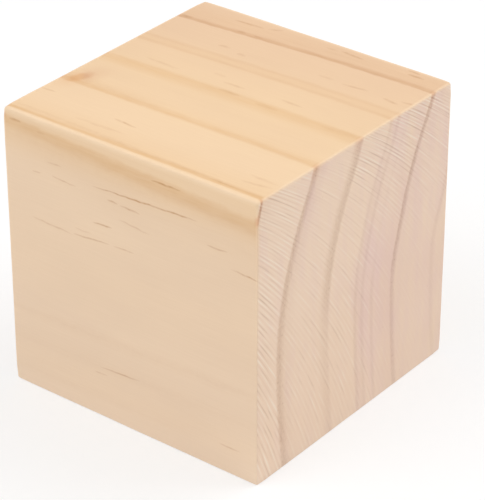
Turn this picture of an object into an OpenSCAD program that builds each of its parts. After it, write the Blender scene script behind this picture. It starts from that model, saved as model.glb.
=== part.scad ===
// Solid softwood cube: one sawn and planed piece of timber.
// The grain runs along X, so the two X faces are sawn end grain and the other
// four are planed side faces. The origin is the centre of the bottom face, and
// +Z is up. Sizes are in millimetres.

/* [Block] */
// Length along the grain, from one sawn end to the other
block_length = 80; // [40:1:120]
// Width across the grain, from the front face to the back face
block_width = 80; // [40:1:120]
// Height across the grain, from the bottom face to the top face
block_height = 80; // [40:1:120]

/* [Eased edges] */
// Radius of the four long edges, where two planed faces meet
long_edge_radius = 0.6; // [0.3:0.1:3]
// Radius of the eight edges round the two sawn ends
end_edge_radius = 0.4; // [0.3:0.1:3]
// Depth to which each corner is rubbed off, along its diagonal
corner_wear = 0.7; // [0.2:0.1:4]

/* [Hidden] */
// Bare pine: pale straw with a warm cast
pine = [0.92, 0.80, 0.66];

$fn = 64;

// A rectangle centred on the origin, with a true arc at each corner
module eased_rectangle(size_x, size_y, radius) {
    square([size_x - 2 * radius, size_y], center = true);
    square([size_x, size_y - 2 * radius], center = true);
    for (side_x = [-1, 1], side_y = [-1, 1])
        translate([side_x * (size_x / 2 - radius), side_y * (size_y / 2 - radius)])
            circle(r = radius);
}

// The block seen along the grain: its four planed faces and the edges between them
module planed_section() {
    rotate([90, 0, 90])
        linear_extrude(height = block_length, center = true)
            eased_rectangle(block_width, block_height, long_edge_radius);
}

// The block seen from the front: both ends cut off square, top and bottom edges eased
module end_cuts_from_front() {
    rotate([90, 0, 0])
        linear_extrude(height = block_width, center = true)
            eased_rectangle(block_length, block_height, end_edge_radius);
}

// The block seen from above: both ends cut off square, upright edges eased
module end_cuts_from_above() {
    linear_extrude(height = block_height, center = true)
        eased_rectangle(block_length, block_width, end_edge_radius);
}

// What lies between the small flats rubbed on the corners: one slab for each of
// the four body diagonals, whose two faces are the flats at that diagonal's ends
module worn_corners() {
    tilt = acos(1 / sqrt(3)); // from +Z to the direction [1, 1, 1]
    three_sides = block_length + block_width + block_height;
    corner_reach = three_sides / 2 / sqrt(3); // centre to corner, along that direction
    intersection_for (quarter_turn = [0:90:270])
        rotate([0, tilt, 45 + quarter_turn])
            cube([three_sides, three_sides, 2 * (corner_reach - corner_wear)], center = true);
}

module wooden_cube() {
    color(pine)
        translate([0, 0, block_height / 2])
            intersection() {
                planed_section();
                end_cuts_from_front();
                end_cuts_from_above();
                worn_corners();
            }
}

wooden_cube();
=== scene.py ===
import math

import bpy
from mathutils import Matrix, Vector


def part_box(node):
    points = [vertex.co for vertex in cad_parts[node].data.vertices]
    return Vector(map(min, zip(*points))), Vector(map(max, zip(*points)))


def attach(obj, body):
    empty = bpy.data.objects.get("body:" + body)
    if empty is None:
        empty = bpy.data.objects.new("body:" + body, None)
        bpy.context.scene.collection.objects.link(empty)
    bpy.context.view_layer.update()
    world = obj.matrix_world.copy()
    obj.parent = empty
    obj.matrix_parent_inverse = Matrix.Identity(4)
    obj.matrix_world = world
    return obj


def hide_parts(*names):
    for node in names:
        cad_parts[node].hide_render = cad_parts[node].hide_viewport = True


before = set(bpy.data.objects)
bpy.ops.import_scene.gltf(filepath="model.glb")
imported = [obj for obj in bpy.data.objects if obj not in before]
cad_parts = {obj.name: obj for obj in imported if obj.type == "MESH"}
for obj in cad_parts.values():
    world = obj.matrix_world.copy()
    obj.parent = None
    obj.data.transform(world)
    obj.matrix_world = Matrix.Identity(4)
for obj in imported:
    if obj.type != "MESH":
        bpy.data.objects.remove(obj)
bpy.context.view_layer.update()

# ------------------------------------------------------------------------------------------
# The camera: it looks down on the block's front right corner from about eight edge lengths
# away, through a long lens, so the block's sides draw together only a little.
# ------------------------------------------------------------------------------------------
mm = 0.001
low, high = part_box("wooden_cube")
middle = (low + high) / 2

turn = math.radians(38.05)  # from the front face towards the right end
rise = math.radians(30.2)  # above the floor
back = Vector((math.sin(turn) * math.cos(rise), -math.cos(turn) * math.cos(rise), math.sin(rise)))
right = Vector((math.cos(turn), math.sin(turn), 0))
up = back.cross(right)

distance = 652 * mm
shift_right = 3.26 * mm
shift_down = 4.44 * mm
camera_data = bpy.data.cameras.new("camera")
camera_data.lens = 181.94
camera_data.clip_start = 10 * mm
camera = bpy.data.objects.new("camera", camera_data)
camera.location = middle + distance * back + shift_right * right - shift_down * up
camera.rotation_euler = back.to_track_quat("Z", "Y").to_euler()
bpy.context.scene.collection.objects.link(camera)
bpy.context.scene.camera = camera

# ------------------------------------------------------------------------------------------
# The block: one piece of fast-grown pine, planed on its four long faces and cut to length
# with a circular saw, whose blade has left shallow arcs across both ends. Its edges are
# lightly eased and its corners are rubbed by handling. It is bare, with no finish on it.
# ------------------------------------------------------------------------------------------
size = high - low
length, width, height = size / mm


class Number:
    """A number on its way through a node tree. Arithmetic on it adds Math nodes to the tree."""

    def __init__(self, socket):
        self.socket = socket

    def step(self, operation, *others):
        """One Math node, with this number and the others as its inputs."""
        node = self.socket.id_data.nodes.new("ShaderNodeMath")
        node.operation = operation
        for value, entry in zip((self, *others), node.inputs):
            feed(value, entry)
        return Number(node.outputs[0])

    def __add__(self, other):
        return self.step("ADD", other)

    def __sub__(self, other):
        return self.step("SUBTRACT", other)

    def __rsub__(self, other):
        return (self * -1) + other

    def __mul__(self, other):
        return self.step("MULTIPLY", other)

    def __truediv__(self, other):
        return self.step("DIVIDE", other)

    def __pow__(self, other):
        return self.step("POWER", other)

    def __abs__(self):
        return self.step("ABSOLUTE")

    __radd__ = __add__
    __rmul__ = __mul__

    def sign(self):
        return self.step("SIGN")

    def root(self):
        return self.step("SQRT")

    def at_least(self, other):
        return self.step("MAXIMUM", other)

    def at_most(self, other):
        return self.step("MINIMUM", other)

    def ramp(self, start, end):
        """Goes smoothly from 0 where this number is at start to 1 where it is at end."""
        node = self.socket.id_data.nodes.new("ShaderNodeMapRange")
        node.interpolation_type = "SMOOTHSTEP"
        feed(self, node.inputs["Value"])
        feed(start, node.inputs["From Min"])
        feed(end, node.inputs["From Max"])
        return Number(node.outputs["Result"])


def feed(value, entry):
    """Sets a node's input to a plain value, or links a number or a socket to it."""
    source = value.socket if isinstance(value, Number) else value
    if isinstance(source, bpy.types.NodeSocket):
        entry.id_data.links.new(source, entry)
    else:
        entry.default_value = source


def blended(first, second, share):
    """The first number where the share is 0, and the second where it is 1."""
    return share * (second - first) + first


def split(vector):
    """The X, Y and Z of a vector socket, as numbers."""
    node = vector.id_data.nodes.new("ShaderNodeSeparateXYZ")
    feed(vector, node.inputs[0])
    return [Number(output) for output in node.outputs]


def joined(tree, x, y, z):
    """A vector socket made of three numbers."""
    node = tree.nodes.new("ShaderNodeCombineXYZ")
    for value, entry in zip((x, y, z), node.inputs):
        feed(value, entry)
    return node.outputs[0]


def noise(tree, place, scale=1.0, detail=0.0, seed=0.0):
    """Smooth noise about 0, mostly between -1 and 1, at a point or along a line of numbers."""
    node = tree.nodes.new("ShaderNodeTexNoise")
    node.inputs["Scale"].default_value = scale
    node.inputs["Detail"].default_value = detail
    if isinstance(place, Number):
        node.noise_dimensions = "1D"
        feed(place + seed, node.inputs["W"])
    else:
        node.noise_dimensions = "4D"
        feed(place, node.inputs["Vector"])
        feed(seed, node.inputs["W"])
    return (Number(node.outputs[0]) - 0.5) * 4


def saw_reach(up, blade_radius, blade_drop):
    """How far the blade's rim stands from its axis, across the block, at a height in it."""
    return (blade_radius ** 2 - (up + blade_drop) ** 2).root()


def ring_growth(tree, x, y, z):
    """How far a place is across the growth rings, in mm. At mid-height it is 0 in the front face.

    The rings stand almost upright, bow to the back under the top face, and close up a
    little towards the left end.
    """
    from_front = y + width / 2
    below = height - z
    to_left = (length / 2 - x) / length
    bow = (1 - below / 45).at_least(0) ** 2 * 15 + ((below - 45) / 35).at_least(0) ** 2 * 2.3
    turn_in = (1 - below / 5).at_least(0) * (1 - to_left * 2) * 0.9
    lean_back = (from_front - 30).at_least(0) * below.ramp(28, 48) * 0.065
    growth = from_front - bow + turn_in + lean_back
    growth = growth + to_left ** 1.5 * (growth * 0.045 + 2.8)
    # Just under the top face the middle rings come forwards a little. So does the first ring,
    # just behind the front face.
    swell = growth.ramp(18, 28) * growth.ramp(56, 46) * (1 - below / 8).at_least(0) * 0.9
    growth = growth + swell + growth.ramp(-4, -9) * from_front.ramp(0, 3) * 1.4
    growth = growth + noise(tree, joined(tree, x * 0.012, y * 0.03, z * 0.03), seed=1.0) * 0.3
    return growth + noise(tree, joined(tree, x * 0.3, y * 0.6, z * 0.6), detail=2, seed=2.0) * 0.22


def torn(growth, below):
    """How far the saw tore the end: most in the soft wood at the front and under the top face."""
    soft = 1.3 - growth.ramp(5, 10) * 0.45 - growth.ramp(38, 60) * below.ramp(15, 40) * 0.4
    by_top = (growth.at_most(56) * 0.8 - below).ramp(4, 20) * growth.ramp(24, 32)
    return soft + by_top * (below.ramp(18, 6) * 0.5 + 0.2)


def saw_wave(tree, marks, end, seed):
    """The saw's waves across an end, from -1 on a ridge to 1 in a groove."""
    wander = noise(tree, marks + end * 90, scale=0.15, seed=seed) * 0.3
    return ((marks + wander) * math.tau).step("COSINE") * -1


# Where each shade of late wood starts, is full, begins to fade and ends, in mm of growth. Then
# how warm and how dark it is on a planed face, how dark on a sawn end, and how much of that is
# left in the lower half.
late_wood = (
    (-12.5, -11.2, -10.7, -9.0, 0.95, 0.25, 0.0, 1.0),
    (-12.9, -12.2, -11.8, -10.7, 0.0, 0.0, 1.5, 1.0),
    (-12.6, -11.8, -10.5, -2.5, 0.45, 0.0, 0.25, 1.0),
    (7.2, 8.2, 8.5, 11.2, 0.85, 0.2, 0.87, 0.92),
    (7.6, 8.8, 9.2, 15.5, 0.3, 0.0, 0.3, 1.0),
    (21.6, 26.4, 27.4, 29.3, 0.9, 0.05, 0.0, 1.0),
    (24.0, 27.8, 28.0, 29.4, 0.0, 0.0, 0.9, 0.43),
    (39.4, 40.4, 43.6, 45.0, 0.35, 0.0, 0.12, 1.0),
    (39.5, 40.5, 40.7, 41.9, 0.3, 0.2, 0.22, 1.5),
    (42.7, 43.6, 43.9, 45.2, 0.25, 0.15, 0.26, 1.0),
    (47.0, 48.1, 48.3, 49.5, 0.0, 0.0, 0.12, 3.0),
    (56.6, 57.4, 57.7, 59.6, 0.9, 0.75, 1.1, 0.6),
    (56.6, 57.6, 59.5, 70.0, 0.5, 0.25, 0.1, 0.8),
    (75.3, 76.5, 76.8, 78.4, 0.5, 0.3, 0.4, 0.7),
    (93.5, 95.0, 95.4, 98.5, 0.8, 0.6, 0.9, 1.0),
)


def late_wood_at(growth, below):
    """How warm and dark the late wood is on planed faces, and how dark on sawn ends."""
    lower = below.ramp(34, 50)
    warm = dark = cut = growth * 0
    for start, full, fades, ends, warmth, darkness, cut_darkness, left_low in late_wood:
        shade = growth.ramp(start, full) * growth.ramp(ends, fades)
        warm = warm + shade * warmth
        dark = dark + shade * darkness
        cut = cut + shade * blended(cut_darkness, cut_darkness * left_low, lower)
    return warm, dark, cut


shape = bpy.data.node_groups.new("Planed and sawn block", "GeometryNodeTree")
for label, kind in (
    ("Size", "Vector"),
    ("Cells", "Vector"),
    ("Rim cells", "Float"),
    ("Long edge radius", "Float"),
    ("End edge radius", "Float"),
    ("Corner wear", "Float"),
    ("Blade radius", "Float"),
    ("Blade drop", "Float"),
    ("Mark spacing", "Float"),
    ("Mark depth", "Float"),
    ("Seed", "Float"),
    ("Timber", "Material"),
):
    shape.interface.new_socket(label, in_out="INPUT", socket_type="NodeSocket" + kind)
shape.interface.new_socket("Block", in_out="OUTPUT", socket_type="NodeSocketGeometry")
given = shape.nodes.new("NodeGroupInput").outputs
rim_cells, long_radius, end_radius, corner_wear, blade_radius, blade_drop, spacing, depth, seed = (
    Number(given[label])
    for label in (
        "Rim cells",
        "Long edge radius",
        "End edge radius",
        "Corner wear",
        "Blade radius",
        "Blade drop",
        "Mark spacing",
        "Mark depth",
        "Seed",
    )
)
half = [size / 2 for size in split(given["Size"])]
cells = split(given["Cells"])

# The lattice: a cube from -1 to 1 whose lines are then moved to their places.
lattice = shape.nodes.new("GeometryNodeMeshCube")
lattice.inputs["Size"].default_value = (2, 2, 2)
for name, count in zip("XYZ", cells):
    feed(count + 1, lattice.inputs["Vertices " + name])
line = split(shape.nodes.new("GeometryNodeInputPosition").outputs[0])
side = [place.sign() for place in line]

# In the rim, a line's share runs from 0 at the flat to 1 at the outside. Across the flat it
# runs from -1 to 1.
rim = [
    (1 - (1 - abs(place)) * count / 2 / rim_cells).at_least(0)
    for place, count in zip(line, cells)
]
rim = [(share * math.radians(45)).step("TANGENT") for share in rim]
flat = [
    (place * count / (count - rim_cells * 2)).at_least(-1).at_most(1)
    for place, count in zip(line, cells)
]
# Lines lie closer together towards the sawn ends. Up the block, they lie where the saw's arcs
# cross lines that are evenly spaced from front to back, so that every arc runs corner to
# corner through the lattice.
flat[0] = flat[0] * (1.5 - flat[0] * flat[0] * 0.5)
reach_top = saw_reach(half[2] * 2, blade_radius, blade_drop)
reach_bottom = saw_reach(half[2] * 0, blade_radius, blade_drop)
reach = blended(reach_bottom, reach_top, (flat[2] + 1) / 2)
flat[2] = ((blade_radius ** 2 - reach ** 2).root() - blade_drop) / half[2] - 1


def placed(radius):
    """Each line's place on a sharp-edged block, whose flats stop at a radius from its edges."""
    return [
        middle_share * (half_size - radius) + facing * edge_share * radius
        for middle_share, facing, edge_share, half_size in zip(flat, side, rim, half)
    ]


# The edges: their radius is smaller round the sawn ends, uneven along each edge and larger at
# the corners.
first = placed(long_radius)
from_edge = [half_size - abs(place) for half_size, place in zip(half, first)]
from_corner = sum((gap * gap for gap in from_edge[1:]), from_edge[0] * from_edge[0]).root()
unevenness = noise(shape, joined(shape, *first), scale=0.12 / mm, detail=2, seed=seed)
radius = blended(end_radius, long_radius, from_edge[0].ramp(1 * mm, 4 * mm))
radius = radius * (unevenness * 0.2 + 1)
handled = (first[2] / half[2]) * 0.15 + 0.85 + unevenness * 0.2
radius = radius + corner_wear * handled * (1 - from_corner.ramp(0, 4 * mm))
sharp = placed(radius)
core = [flat_share * (half_size - radius) for flat_share, half_size in zip(flat, half)]
offset = [outer - inner for outer, inner in zip(sharp, core)]
length_of_offset = (offset[0] * offset[0] + offset[1] * offset[1] + offset[2] * offset[2]).root()
place = [inner + outward * radius / length_of_offset for inner, outward in zip(core, offset)]

# The saw marks: arcs of the blade's radius, one after another as the block was fed past it.
# They are uneven, faint in the hard late wood, and fade into the edges.
up_block = first[2] + half[2]
across = first[1]
phase = (across - saw_reach(up_block, blade_radius, blade_drop)) / spacing
strength = noise(shape, phase + side[0] * 90, scale=0.7, seed=seed + 50) * 0.5 + 0.6
groove = saw_wave(shape, phase, side[0], seed) * 0.5 + 0.5
growth = ring_growth(shape, first[0] / mm, across / mm, up_block / mm)
below = height - up_block / mm
hard = late_wood_at(growth, below)[2]
groove = groove * strength.at_least(0.1) * torn(growth, below) * (1 - hard.at_most(1) * 0.7)
on_end = abs(line[0]).step("GREATER_THAN", 0.9999)
on_end = on_end * (1 - rim[1].at_most(1)) * (1 - rim[2].at_most(1))
place[0] = place[0] - side[0] * on_end * groove * depth
place[2] = place[2] + half[2]

# A map of the six faces, in two rows of three, so that each face lies flat and whole, with a
# narrow gap round it.
half_face = 0.485
facing = shape.nodes.new("GeometryNodeFieldOnDomain")
facing.domain = "FACE"
facing.data_type = "FLOAT_VECTOR"
feed(shape.nodes.new("GeometryNodeInputNormal").outputs[0], facing.inputs[0])
normal = split(facing.outputs[0])
share = [along / half_size for along, half_size in zip(first, half)]
map_right = normal[0] * share[1] - normal[1] * share[0] + abs(normal[2]) * share[0]
map_up = (abs(normal[0]) + abs(normal[1])) * share[2] + normal[2] * share[1]
column = abs(normal[1]) + abs(normal[2]) * 2
row = (normal[0] + normal[1] + normal[2]) * 0.5 + 1
face_map = shape.nodes.new("GeometryNodeStoreNamedAttribute")
face_map.data_type = "FLOAT2"
face_map.domain = "CORNER"
face_map.inputs["Name"].default_value = "OFBake"
feed(lattice.outputs["Mesh"], face_map.inputs["Geometry"])
map_place = [
    (column + 0.5 + map_right * half_face) / 3,
    (row + 0.5 + map_up * half_face) / 3,
]
feed(joined(shape, *map_place, 0.0), face_map.inputs["Value"])

moved = shape.nodes.new("GeometryNodeSetPosition")
feed(face_map.outputs["Geometry"], moved.inputs["Geometry"])
feed(joined(shape, *place), moved.inputs["Position"])
triangles = shape.nodes.new("GeometryNodeTriangulate")
triangles.quad_method = "FIXED_ALTERNATE"
feed(moved.outputs["Geometry"], triangles.inputs["Mesh"])
smooth = shape.nodes.new("GeometryNodeSetShadeSmooth")
feed(triangles.outputs["Mesh"], smooth.inputs["Geometry"])
whole = shape.nodes.new("GeometryNodeRealizeInstances")
feed(smooth.outputs["Geometry"], whole.inputs["Geometry"])
finish = shape.nodes.new("GeometryNodeSetMaterial")
feed(whole.outputs["Geometry"], finish.inputs["Geometry"])
feed(given["Timber"], finish.inputs["Material"])
block_out = shape.nodes.new("NodeGroupOutput")
feed(finish.outputs["Geometry"], block_out.inputs["Block"])

timber = bpy.data.materials.new("bare pine")
timber.use_nodes = True
mark_spacing = 1.5 * mm
blade = 160 * mm
drop = 55 * mm
line_gap = mark_spacing / 4
rim_lines = 3
cells_along = 20
arc_span = math.sqrt(blade ** 2 - drop ** 2) - math.sqrt(blade ** 2 - (size.z + drop) ** 2)
settings = {
    "Size": size,
    "Cells": (
        cells_along,
        round(size.y / line_gap) + 2 * rim_lines,
        round(arc_span / line_gap) + 2 * rim_lines,
    ),
    "Rim cells": float(rim_lines),
    "Long edge radius": 0.6 * mm,
    "End edge radius": 0.4 * mm,
    "Corner wear": 0.45 * mm,
    "Blade radius": blade,
    "Blade drop": drop,
    "Mark spacing": mark_spacing,
    "Mark depth": 0.04 * mm,
    "Seed": 4.0,
    "Timber": timber,
}
seed_mesh = bpy.data.meshes.new("block")
maker = bpy.data.objects.new("maker", seed_mesh)
bpy.context.scene.collection.objects.link(maker)
modifier = maker.modifiers.new("shape", "NODES")
modifier.node_group = shape
for item in shape.interface.items_tree:
    if item.item_type == "SOCKET" and item.in_out == "INPUT":
        modifier[item.identifier] = settings[item.name]
bpy.context.view_layer.update()
graph = bpy.context.evaluated_depsgraph_get()
mesh = bpy.data.meshes.new_from_object(
    maker.evaluated_get(graph), preserve_all_data_layers=True, depsgraph=graph
)
bpy.data.objects.remove(maker)
mesh.materials.pop(index=0)  # the lattice's own empty slot
block = bpy.data.objects.new("block", mesh)
bpy.context.scene.collection.objects.link(block)
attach(block, "root")
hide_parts("wooden_cube")


# The timber's colours are one pattern through the whole block, which shows as soft bands along
# the planed faces and as lines across the sawn ends.
def seen(*colour):
    """A colour as it looks, each part from 0 to 255, in the linear values that a node takes."""
    return (*(((part / 255 + 0.055) / 1.055) ** 2.4 for part in colour), 1.0)


def coloured(first, second, share, way="MIX"):
    """A colour between two colours, or the second laid over the first in another way."""
    node = tree.nodes.new("ShaderNodeMix")
    node.data_type = "RGBA"
    node.blend_type = way
    feed(share, node.inputs[0])
    feed(first, node.inputs[6])
    feed(second, node.inputs[7])
    return node.outputs[2]


def stained(colour, stain, share):
    """A colour with a stain on it, which leaves the given part of each of red, green and blue."""
    return coloured(colour, (*stain, 1.0), share, "MULTIPLY")


def stretched(along, across, up):
    """Noise coordinates in cells per millimetre along the grain, across it and up it."""
    return joined(tree, x * along, y * across, z * up)


tree = timber.node_tree
pine = tree.nodes["Principled BSDF"]
in_mm = tree.nodes.new("ShaderNodeMapping")
in_mm.inputs["Scale"].default_value = (1 / mm, 1 / mm, 1 / mm)
feed(tree.nodes.new("ShaderNodeTexCoord").outputs["Object"], in_mm.inputs["Vector"])
x, y, z = split(in_mm.outputs[0])
below = height - z
growth = ring_growth(tree, x, y, z)
warm, dark, cut = late_wood_at(growth, below)

# Resin canals: thin brown dashes along the grain, which are softer on the top face, and a few
# wide soft bands of darker wood. They are placed around the block: distance runs back from the
# front top edge over the top face, and is below zero down the front face. Each has its start
# and end along the grain, its distance at both, how broad it is and how dark.
canals = (
    (-11.5, 22, -12.8, -11.1, 1, 0.85),
    (10, 20, -11.7, -11.2, 1, 0.9),
    (-38, -34, -2.5, -2.5, 1.4, 0.6),
    (-29, -26, -3.4, -3.4, 1.6, 0.2),
    (7.5, 17, -4.7, -4.6, 1.2, 0.7),
    (-26, -21, -10.9, -10.7, 1, 0.3),
    (-31, -28, -15.1, -14.7, 1, 0.4),
    (-24.5, -16.5, -14.4, -14.7, 1, 0.5),
    (-6.5, -3, -15.0, -15.1, 1, 0.6),
    (-2.5, 4, -15.1, -15.4, 1, 0.6),
    (-3, 7, -19.2, -20.1, 1, 0.35),
    (-11.5, -5, -22.8, -22.4, 1, 0.8),
    (-32, -18, -28.4, -28.9, 1, 0.4),
    (-18, -6, -28.5, -27.6, 1, 0.6),
    (-5, 2, -27.6, -27.1, 1, 0.4),
    (-17.5, -12, -26.7, -26.5, 1, 0.25),
    (24.5, 31, -16.8, -16.4, 1, 0.6),
    (32, 41, -20.5, -21.2, 1, 0.6),
    (-10.5, 3, -64.9, -64.1, 1, 0.6),
    (-12.5, -8, -67.1, -66.6, 1, 0.25),
    (28, 35, -72.1, -71.9, 1, 0.45),
    (-60, 48, -5.5, -8.5, 11, 0.07),
    (-48, 60, -57.6, -53.4, 7, 0.08),
    (-48, 60, -66.2, -62.4, 6, 0.04),
    (-70, 20, -76.0, -73.0, 6, 0.045),
    (-26, -16.5, 75.2, 75.6, 2, 0.41),
    (-15.5, -11.5, 75.8, 77.8, 2.1, 0.27),
    (3, 7, 76.7, 76.7, 2.1, 0.18),
    (7.5, 15, 77.0, 76.7, 1.8, 0.45),
    (27.5, 31.5, 78.5, 78.3, 1.8, 0.45),
    (28.5, 34, 76.6, 76.6, 2, 0.41),
    (-39, -35.5, 69.0, 69.2, 2.6, 0.32),
    (-21.5, -18.5, 70.2, 70.3, 2, 0.32),
    (-16, -13, 70.6, 70.7, 2, 0.32),
    (12, 24, 71.6, 71.8, 2, 0.11),
    (-20, -16, 60.5, 60.9, 2.2, 0.36),
    (-13, -10, 59.4, 59.5, 2.2, 0.36),
    (11, 16, 62.4, 62.4, 2.2, 0.18),
    (18.5, 26.5, 61.9, 62.7, 2.1, 0.32),
    (31.5, 36.5, 61.7, 61.2, 2.1, 0.32),
    (36, 42, 63.1, 63.3, 2.1, 0.36),
    (-10.5, -6.5, 47.0, 47.0, 2.2, 0.18),
    (-5.5, 1.5, 44.4, 44.6, 2.2, 0.27),
    (-30, -19, 43.3, 43.2, 2.2, 0.23),
    (12, 19, 45.5, 45.2, 2.1, 0.27),
    (-4, 3, 40.6, 40.6, 2.6, 0.23),
    (8, 15, 40.1, 40.0, 2.6, 0.18),
    (28, 41, 40.2, 40.6, 4, 0.12),
    (-44, -8, 24.4, 23.6, 8, 0.08),
    (-41, -35, 14.0, 14.0, 1.8, 0.32),
    (-14, -6.5, 12.2, 11.6, 1.7, 0.45),
    (-22, -6, 6.7, 7.2, 2.3, 0.18),
    (30, 38.5, 9.9, 9.5, 2.1, 0.23),
    (30, 38.5, 6.4, 7.5, 2.1, 0.23),
    (23, 33, 2.7, 2.5, 1.7, 0.32),
    (-60, 60, 4.2, 2.3, 3.2, 0.14),
    (-46, -28, 23.0, 24.0, 9, 0.12),
)
around = y + z - width / 2
along = x * (z - y - width / 2).sign()
waver = around + noise(tree, stretched(0.3, 0.2, 0.2), detail=1, seed=7.0) * 0.2
resin = x * 0
for start, end, place_start, place_end, breadth, darkness in canals:
    share_along = (along - start) / (end - start)
    taper = (share_along * (1 - share_along) * 4).at_least(0).root()
    gap = abs(waver - blended(place_start, place_end, share_along))
    gap = gap / (taper * 0.25 + 0.1) / breadth
    resin = resin.at_least((1 - gap) * taper * darkness)
breaks = noise(tree, stretched(0.5, 0.8, 0.8), detail=1, seed=8.0) * 0.45 + 0.85
resin = resin * breaks.at_least(0.25).at_most(1.25)

# A small brown knot that only just breaks the top face, near its left end. It is longer across
# the block than along it, leans to the right at the back, and is darkest there.
knot_place = (-35.8, -15.8)
from_knot = (x - knot_place[0], y - knot_place[1])
knot_x = from_knot[0] - from_knot[1] * 0.3
knot_y = from_knot[1] * 0.55
knot_gap = (knot_x * knot_x + knot_y * knot_y).root()
knot_gap = knot_gap + noise(tree, stretched(0.4, 0.4, 0.4), detail=2, seed=9.0) * 0.35
knot = (knot_gap.ramp(2.8, 0.8) * 0.65 + knot_gap.ramp(6, 0.5) * 0.35) * below.ramp(9, 3)
knot_dark = knot * (from_knot[0] + from_knot[1]).ramp(-0.7, 2.8)

# Planed long grain: straw, with orange-brown late wood, soft clouds and faint fibres. It is paler
# on the front, and paler still low down the front, where painted light offsets the shade near the
# floor. It is a shade darker at the left of the top and the right of the sides.
clouds = noise(tree, stretched(0.03, 0.08, 0.1), detail=3, seed=3.0)
fibres = noise(tree, stretched(0.06, 2.2, 2.2), detail=3, seed=4.0)
streaks = noise(tree, stretched(0.12, 0.9, 0.9), detail=2, seed=11.0)
long_grain = coloured(seen(249, 217, 178), seen(246, 213, 173), growth.ramp(3, 20))
long_grain = coloured(long_grain, seen(241, 206, 170), growth.ramp(25, 60))
# The front's own paler tone, plus painted light in its lower half against the shade near the floor.
front_tone_and_painted_light = below.ramp(1, 14) * 0.8 + below.ramp(35, 80) * 0.5
long_grain = coloured(long_grain, seen(247, 220, 191), front_tone_and_painted_light * growth.ramp(40, 10))
shade = clouds * 0.2 + 0.2 - below.ramp(58, 72) * 0.16
shade = shade + blended(x.ramp(-18, -36) * 0.2, x.ramp(-10, 35) * 0.16, below.ramp(1, 14))
long_grain = stained(long_grain, (0.91, 0.89, 0.9), shade.at_least(0).at_most(1))
warmth = warm * (streaks * 0.25 + 1) * (1 - (y + width / 2).ramp(1, 0) * 0.15)
long_grain = stained(long_grain, (0.89, 0.765, 0.56), (warmth * 0.5).at_most(1))
darkness = dark * (streaks * 0.4 + 1) + knot_dark * 1.2
long_grain = stained(long_grain, (0.84, 0.81, 0.93), (darkness * 0.5).at_most(1))
long_grain = stained(long_grain, (0.92, 0.78, 0.65), knot.at_most(1))
long_grain = stained(long_grain, (0.965, 0.95, 0.935), (fibres * 0.35 + 0.3).at_least(0).at_most(1))
long_grain = stained(long_grain, (0.62, 0.42, 0.24), resin.at_most(1))

# Sawn end grain: paler and pinker, with grey-brown ring lines and the marks of the blade. It is
# pinkest behind the first ring and in the inner wood, and more yellow low down at the front.
mottle = noise(tree, stretched(0.02, 0.25, 0.06), detail=2, seed=5.0) * 0.35
behind_ring = growth.ramp(8, 10) * growth.ramp(20, 12) * below.ramp(30, 8) * 0.4
inner = (below.ramp(10, 45) - below.ramp(50, 75) * 0.5) * growth.ramp(60, 57) * 0.3 + 0.35
inner = inner * growth.ramp(37, 43) * (1 - below.ramp(50, 75) * 0.3)
pinkness = mottle + inner + behind_ring
end_grain = coloured(seen(246, 219, 195), seen(239, 208, 197), pinkness.at_least(0).at_most(1))
yellowed = below.ramp(28, 50) - below.ramp(50, 65) * growth.ramp(30, 50)
end_grain = stained(end_grain, (0.985, 0.976, 0.966), yellowed)
straw = growth.ramp(48, 55) * growth.ramp(58, 57) + growth.ramp(6, 2) * below.ramp(35, 50) * 0.5
end_grain = stained(end_grain, (0.99, 0.982, 0.962), straw)

# The saw's waves and scratches tint the ends in their own colour, and also paint shade into the
# grooves and highlights onto the ridges. The ring lines are ragged where the saw tore them,
# speckled, and browner just under the top face.
marks = (y - saw_reach(z, blade / mm, drop / mm)) / (mark_spacing / mm)
waves = saw_wave(tree, marks, x.sign(), settings["Seed"])
patches = noise(tree, joined(tree, marks * 0.8, z * 0.12, x), detail=1, seed=13.0) * 0.6 + 0.9
scratches = noise(tree, joined(tree, marks * 2.2, z * 0.12, x), detail=2, seed=6.0) * 0.4
scratches = (scratches + waves * patches.at_least(0.1) * 0.33) * torn(growth, below)
fuzz = noise(tree, stretched(0.5, 1.4, 1.0), detail=2, seed=10.0)
ragged = fuzz * 0.3 + fuzz.ramp(0.5, 0.9) * 0.7 + scratches.ramp(0.1, 0.7) * 0.6 + 0.85
by_top = below.ramp(5, 1)
ring_line = (cut * (ragged + by_top * 0.2) * 0.5).at_most(1)
end_grain = stained(end_grain, (0.65, 0.56, 0.51), ring_line)
end_grain = stained(end_grain, (1.0, 0.92, 0.88), ring_line * by_top)
specks = noise(tree, stretched(0.5, 1.6, 0.8), detail=1, seed=12.0)
speckled = specks.ramp(0.9, 1.2) * 0.5 + specks.ramp(0.5, 0.9) * ring_line * 0.7
end_grain = stained(end_grain, (0.78, 0.68, 0.64), speckled.at_most(1))
scratches = scratches * (1 - cut.at_most(1) * 0.6)
# Painted shade in the saw's grooves, and on the next line painted highlights on its ridges, over
# the marks' own colour.
end_grain = stained(end_grain, (0.77, 0.73, 0.7), scratches.ramp(0.1, 1.1))
end_grain = coloured(end_grain, seen(255, 243, 226), scratches.ramp(0, -1) * 0.6)

# Painted highlights make the arrises paler, most of all the long ones, and painted light makes the
# foot of the block paler against the shade by the floor. The late wood stands out where it crosses
# the arrises of the sawn ends.
sawn = abs(x).ramp(length / 2 - 0.2, length / 2 - 0.06)
timber_colour = coloured(long_grain, end_grain, sawn)
from_side = width / 2 - abs(y)
from_end = (length / 2 - abs(x)).at_least(below.at_most(from_side))
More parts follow.
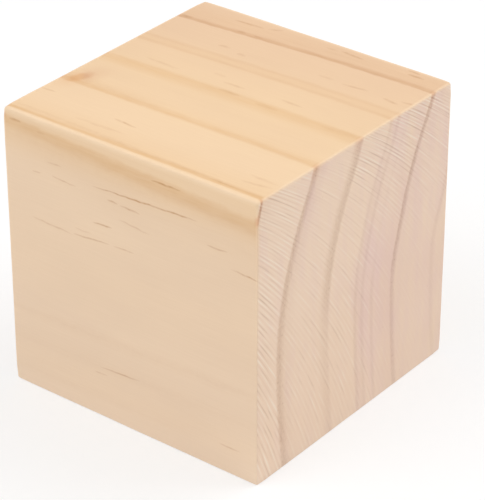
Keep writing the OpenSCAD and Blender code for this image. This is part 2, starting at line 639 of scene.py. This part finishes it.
# Painted highlight along the arrises, palest on the long ones and towards the top.
edge_highlight = from_side.at_least(below).ramp(1.7, 0.1)
edge_highlight = edge_highlight.at_least(from_end.ramp(1, 0) * below.ramp(60, 0))
edge_highlight = edge_highlight * (streaks * 0.25 + 0.7)
timber_colour = coloured(timber_colour, seen(253, 224, 190), edge_highlight.at_least(0))
at_end = (cut * from_end.ramp(1.4, 0) * 0.5).at_most(1)
timber_colour = stained(timber_colour, (0.87, 0.67, 0.57), at_end)
# Painted light: the foot of the block is paler, offsetting the shade near the floor.
timber_colour = coloured(timber_colour, seen(255, 238, 222), below.ramp(70, 80) * 0.15)
feed(timber_colour, pine.inputs["Base Color"])
feed(blended(0.62 - warm * 0.06, 0.85, sawn), pine.inputs["Roughness"])
pine.inputs["Specular IOR Level"].default_value = 0.3

bump = tree.nodes.new("ShaderNodeBump")
bump.inputs["Distance"].default_value = 1 * mm
feed(blended(fibres * 0.004, scratches * 0.012, sawn), bump.inputs["Height"])
feed(bump.outputs[0], pine.inputs["Normal"])

# ------------------------------------------------------------------------------------------
# The studio: a white floor and backdrop, soft light all round and two large soft lamps
# overhead, one to the front left and one to the back right.
# ------------------------------------------------------------------------------------------
scene = bpy.context.scene
scene.view_settings.view_transform = "Standard"


def seen_directly(tree):
    """1 for what the camera sees straight, in a reflection or through glass, 0 for light."""
    ray = tree.nodes.new("ShaderNodeLightPath").outputs
    direct = Number(ray["Is Camera Ray"]).at_least(ray["Is Glossy Ray"])
    return direct.at_least(ray["Is Transmission Ray"])


floor_mesh = bpy.data.meshes.new("floor")
half_floor = 3.0
corners = [(x * half_floor, y * half_floor, 0) for x, y in ((-1, -1), (1, -1), (1, 1), (-1, 1))]
floor_mesh.from_pydata(corners, [], [(0, 1, 2, 3)])
floor = bpy.data.objects.new("floor", floor_mesh)
scene.collection.objects.link(floor)
floor_paint = bpy.data.materials.new("floor paint")
floor_paint.use_nodes = True
floor_mesh.materials.append(floor_paint)
tree = floor_paint.node_tree
paint = tree.nodes["Principled BSDF"]
paint.inputs["Roughness"].default_value = 0.9
# In view, the floor glows with a little more than half of its white and reflects the rest, so
# that the block's shadow stays on it. Out of view it only reflects.
in_view = seen_directly(tree)
feed(coloured((0.96, 0.96, 0.96, 1), (0.45, 0.45, 0.45, 1), in_view), paint.inputs["Base Color"])
paint.inputs["Emission Color"].default_value = (1, 1, 1, 1)
feed(in_view * 0.55, paint.inputs["Emission Strength"])

world = bpy.data.worlds.new("studio")
scene.world = world
world.use_nodes = True
sky = world.node_tree.nodes["Background"]
sky.inputs["Color"].default_value = (1, 1, 1, 1)
feed(blended(0.57, 1.0, seen_directly(world.node_tree)), sky.inputs["Strength"])


def softbox(name, place, width, power):
    """A square lamp that faces the block, placed and sized in metres, with its power in watts."""
    lamp = bpy.data.lights.new(name, "AREA")
    lamp.shape = "SQUARE"
    lamp.size = width
    lamp.energy = power
    holder = bpy.data.objects.new(name, lamp)
    holder.location = place
    holder.rotation_euler = (Vector(place) - middle).to_track_quat("Z", "Y").to_euler()
    scene.collection.objects.link(holder)


softbox("key lamp", (-0.5, -0.9, 1.3), 1.0, 7.0)
softbox("side lamp", (0.55, 0.75, 1.3), 1.0, 8.1)
